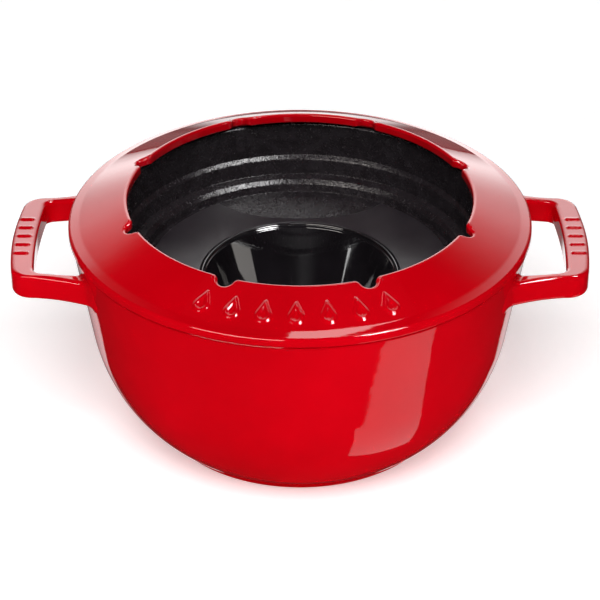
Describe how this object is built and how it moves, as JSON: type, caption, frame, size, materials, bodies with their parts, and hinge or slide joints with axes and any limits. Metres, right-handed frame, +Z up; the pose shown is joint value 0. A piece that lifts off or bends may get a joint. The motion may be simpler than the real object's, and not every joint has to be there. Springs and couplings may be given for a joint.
{
  "type": "fondue pot set",
  "caption": "Round enamelled fondue pot with loop handles, a notched fork ring, a stepped black insert, a burner plate, and a cup with a small fuel burner inside.",
  "frame": {"origin": "centre of the pot's foot, on the table", "axes": "+Z up; the handles lie along X; the ornament on the ring faces -Y, the front"},
  "size_m": [0.325, 0.26, 0.1432],
  "materials": {
    "red_enamel": "gloss",
    "rough_black_enamel": "satin",
    "satin_black_enamel": "satin",
    "gloss_black_enamel": "gloss",
    "sheet_steel": "satin",
    "fuel_wadding": "matte",
    "gauze_wire": "satin",
    "bakelite": "gloss",
    "screw_steel": "polished"
  },
  "bodies": {
    "pot": {"pot": "red_enamel", "left_handle": "red_enamel", "right_handle": "red_enamel"},
    "insert": {"stepped_insert": "rough_black_enamel"},
    "ring": {"fork_ring": "red_enamel"},
    "plate": {"burner_plate": "satin_black_enamel"},
    "cup": {"burner_cup": "gloss_black_enamel"},
    "tin": {"fuel_tin": "sheet_steel", "fuel_wadding": "fuel_wadding", "wire_gauze": "gauze_wire", "gauze_spring_ring": "gauze_wire"},
    "burner_head": {"burner_top": "sheet_steel", "retaining_ring": "sheet_steel"},
    "regulator": {"regulator_ring": "sheet_steel", "regulator_lever": "sheet_steel", "lever_rivet": "sheet_steel", "lever_knob": "bakelite"},
    "snuffer": {"snuffer_lid": "sheet_steel", "snuffer_knob": "bakelite", "knob_screw": "screw_steel"}
  },
  "joints": [
    {"name": "insert_lift", "type": "slide", "parent": "pot", "child": "insert", "axis": [0, 0, 1], "range_m": [0, 0.12]},
    {"name": "ring_lift", "type": "slide", "parent": "insert", "child": "ring", "axis": [0, 0, 1], "range_m": [0, 0.06]},
    {"name": "plate_lift", "type": "slide", "parent": "insert", "child": "plate", "axis": [0, 0, 1], "range_m": [0, 0.13]},
    {"name": "cup_lift", "type": "slide", "parent": "plate", "child": "cup", "axis": [0, 0, 1], "range_m": [0, 0.08]},
    {"name": "tin_lift", "type": "slide", "parent": "cup", "child": "tin", "axis": [0, 0, 1], "range_m": [0, 0.08]},
    {"name": "burner_top_lift", "type": "slide", "parent": "tin", "child": "burner_head", "axis": [0, 0, 1], "range_m": [0, 0.02]},
    {"name": "regulator_turn", "type": "hinge", "parent": "burner_head", "child": "regulator", "pos_m": [0, 0, 0.0462], "axis": [0, 0, 1], "range_deg": [0, 22.5]},
    {"name": "snuffer_lift", "type": "slide", "parent": "burner_head", "child": "snuffer", "axis": [0, 0, 1], "range_m": [0, 0.03]}
  ]
}
